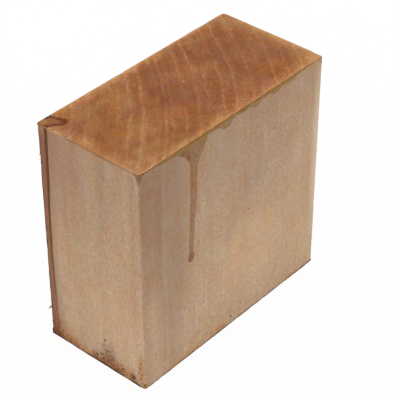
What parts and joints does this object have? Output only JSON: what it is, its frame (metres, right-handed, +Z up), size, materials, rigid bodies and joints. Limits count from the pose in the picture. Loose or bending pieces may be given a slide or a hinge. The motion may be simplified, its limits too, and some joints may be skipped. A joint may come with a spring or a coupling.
{
  "type": "wood turning blank",
  "caption": "Square sawn block of hardwood for turning on a lathe, with both ends of the grain sealed in wax.",
  "frame": {"origin": "middle of the flat base, on the surface that the blank stands on", "axes": "+Z up along the grain, +X across the block's width towards its right as seen from the front, and -Y out of the front face, which has the wax drip"},
  "size_m": [0.1569, 0.0769, 0.1518],
  "materials": {
    "timber": "matte",
    "end_wax": "satin"
  },
  "bodies": {
    "root": {"timber_block": "timber", "top_end_wax": "end_wax", "bottom_end_wax": "end_wax"}
  },
  "joints": []
}
